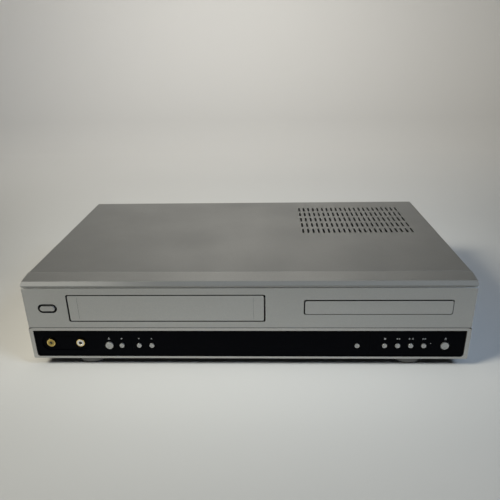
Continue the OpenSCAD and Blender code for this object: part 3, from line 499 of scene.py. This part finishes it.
def is_end_edge(edge):
    """Whether an edge lies along the front end of the cover's sheet."""
    return all(v.co.y * 1000 - FRONT_Y < COVER_FRONT + END_EDGE for v in edge.verts)


def dress_outside():
    # The cover's front edge carries a painted highlight.
    softened("top_cover", cover_paint_with_highlight, 0.25, pick=is_end_edge)
    softened("front_bezel", front_paint(bezel_silver, 1.5), 0.12, smooth=15)
    softened("control_frame", frame_paint, 0.2)
    softened("control_panel", strip_black, 0.12)
    softened("display_window", window_black, 0.1)
    softened("cassette_door", front_paint(door_silver, 1.8), 0.1)
    softened("tray_front", front_paint(door_silver, 1.8), 0.1)
    for name in ("video", "audio"):
        softened(name + "_jack_front", gold, 0.25)
    softened("feet", foot_silver, 0.8, segments=3)
    for node in nodes:
        if node == "power_button":
            softened(node, button_silver, 0.9, segments=4)
        elif node.endswith("_button"):
            softened(node, button_silver, 0.2)


# ---- Inner pieces, shown as the CAD made them ----

PLAIN_NODES = {
    dark_zinc: ["bottom_chassis"],
    zinc: ["rear_panel", "tape_deck_plate", "carriage_side_frames", "cassette_carriage",
           "cassette_holder", "traverse_deck", "clamp_bridge", "pinch_arm"],
    bright_steel: ["screws", "door_spring", "capstan"],
    turned: ["head_drum_base", "head_drum", "supply_guide_carrier", "takeup_guide_carrier"],
    can: ["capstan_motor", "loading_motor", "loader_motor", "tuner_module", "tape_heads",
          "optical_pickup"],
    black_plastic: ["mains_inlet", "loader_chassis", "turntable", "disc_clamp", "disc_tray"],
    white_plastic: ["supply_reel_table", "takeup_reel_table", "tray_pinion"],
    green_board: ["control_board", "power_switch_board", "main_board", "power_supply_board",
                  "decoder_board"],
    gold: ["rear_jacks"],
    pad_rubber: ["foot_pads", "pinch_roller"],
    tube_glass: ["display_tube"],
}
CRISP = 30  # degrees, the bend from which an inner piece's edge is shown crisp


def dress_inside():
    for mat, names in PLAIN_NODES.items():
        for node in names:
            data = nodes[node].data
            data.materials.clear()
            data.materials.append(mat)
            data.shade_smooth()
            data.set_sharp_from_angle(angle=radians(CRISP))


# ---- Printed symbols ----

PRINT_THICKNESS = 0.02
SYMBOL_Z = 31.0
TRIANGLE = 0.95
INDICATOR_AT = (178.5, 25.9)
RIGHT, UP, LEFT, DOWN = 0, 90, 180, 270


def bar(bm, where, width, height):
    scale = Matrix.Diagonal((width / 1000, height / 1000, 1, 1))
    bmesh.ops.create_grid(bm, x_segments=1, y_segments=1, size=0.5, matrix=where @ scale)


def dot(bm, where, radius):
    bmesh.ops.create_circle(bm, cap_ends=True, radius=radius / 1000, segments=16, matrix=where)


def triangle(bm, where, size, way):
    """A triangle that points right, up, left or down."""
    place = where @ Matrix.Rotation(radians(way), 4, "Z") @ Matrix.Scale(size / 1000, 4)
    corners = ((1, 0, 0), (-0.7, 1, 0), (-0.7, -1, 0))
    bm.faces.new([bm.verts.new(place @ Vector(corner)) for corner in corners])


def eject_symbol(bm, x, y):
    triangle(bm, upright(x, y, SYMBOL_Z + 0.6), 1.0, UP)
    bar(bm, upright(x, y, SYMBOL_Z - 0.9), 2.2, 0.45)


def print_marks(bm, name):
    """Gives flat marks the print's thickness and fixes them to the front."""
    made = bmesh.ops.extrude_face_region(bm, geom=bm.faces[:])["geom"]
    bmesh.ops.translate(bm, vec=(0, -PRINT_THICKNESS / 1000, 0), verts=verts_of(made))
    bmesh.ops.recalc_face_normals(bm, faces=bm.faces)
    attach(mesh_object(bm, name, pale_print), "root")


def strip_symbols():
    """Stop, rewind, play and pause, fast forward, the two ejects, record and an indicator."""
    y = front_of("control_panel")
    bm = bmesh.new()
    stop, rewind, play, forward, record = (
        middle(name + "_button")[0] for name in ("stop", "rewind", "play", "fast_forward", "record"))
    bar(bm, upright(stop, y, SYMBOL_Z), 1.9, 1.9)
    for shift in (-0.9, 1.1):
        triangle(bm, upright(rewind + shift, y, SYMBOL_Z), TRIANGLE, LEFT)
    for shift in (-1.1, 0.9):
        triangle(bm, upright(forward + shift, y, SYMBOL_Z), TRIANGLE, RIGHT)
    triangle(bm, upright(play - 1.6, y, SYMBOL_Z), TRIANGLE, RIGHT)
    for shift in (1.1, 2.1):
        bar(bm, upright(play + shift, y, SYMBOL_Z), 0.5, 1.7)
    for name in ("disc", "tape"):
        eject_symbol(bm, middle(name + "_eject_button")[0], y)
    dot(bm, upright(record, y, SYMBOL_Z), 0.8)
    dot(bm, upright(INDICATOR_AT[0], y, INDICATOR_AT[1]), 0.45)
    print_marks(bm, "strip_symbols")


def window_symbols():
    """The pointers above the two channel buttons."""
    bm = bmesh.new()
    for name, way in (("down", DOWN), ("up", UP)):
        x = middle("channel_" + name + "_button")[0]
        triangle(bm, upright(x, front_of("display_window"), SYMBOL_Z), 0.8, way)
    print_marks(bm, "window_symbols")


# ---- Insides of the front sockets ----

RING_Y = 0.75
RING_RADIUS = 3.4
RING_INNER_SHARE = 0.5
RING_THICKNESS = 0.12
BORE_Y = 3.2
BORE_RADIUS = 1.63
BORE_LENGTH = 4.0


def socket_ring(name, mat, x, z):
    """The coloured insulator between a socket's shell and its bore."""
    bm = bmesh.new()
    bmesh.ops.create_circle(bm, cap_ends=False, radius=RING_RADIUS / 1000, segments=40,
                            matrix=upright(x, RING_Y, z))
    made = bmesh.ops.extrude_edge_only(bm, edges=bm.edges[:])["geom"]
    bmesh.ops.scale(bm, vec=(RING_INNER_SHARE, 1, RING_INNER_SHARE), verts=verts_of(made),
                    space=Matrix.Translation(-put(x, RING_Y, z)))
    made = bmesh.ops.extrude_face_region(bm, geom=bm.faces[:])["geom"]
    bmesh.ops.translate(bm, vec=(0, -RING_THICKNESS / 1000, 0), verts=verts_of(made))
    bmesh.ops.recalc_face_normals(bm, faces=bm.faces)
    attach(mesh_object(bm, name + "_socket_ring", mat), "root")


def socket_bore_shade(name, x, z):
    """A black cylinder in the hole that takes a plug's pin: painted shade for the hole's dark inside.
    """
    bm = bmesh.new()
    bmesh.ops.create_cone(bm, cap_ends=True, segments=24, radius1=BORE_RADIUS / 1000,
                          radius2=BORE_RADIUS / 1000, depth=BORE_LENGTH / 1000,
                          matrix=upright(x, BORE_Y, z))
    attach(mesh_object(bm, name + "_socket_bore", black_plastic), "root")


def socket_insides():
    for name, mat in (("video", yellow_plastic), ("audio", white_plastic)):
        x, z = middle(name + "_jack_front")
        socket_ring(name, mat, x, z)
        socket_bore_shade(name, x, z)


make_camera()
make_room()
make_light()
dress_inside()
dress_outside()
strip_symbols()
window_symbols()
socket_insides()
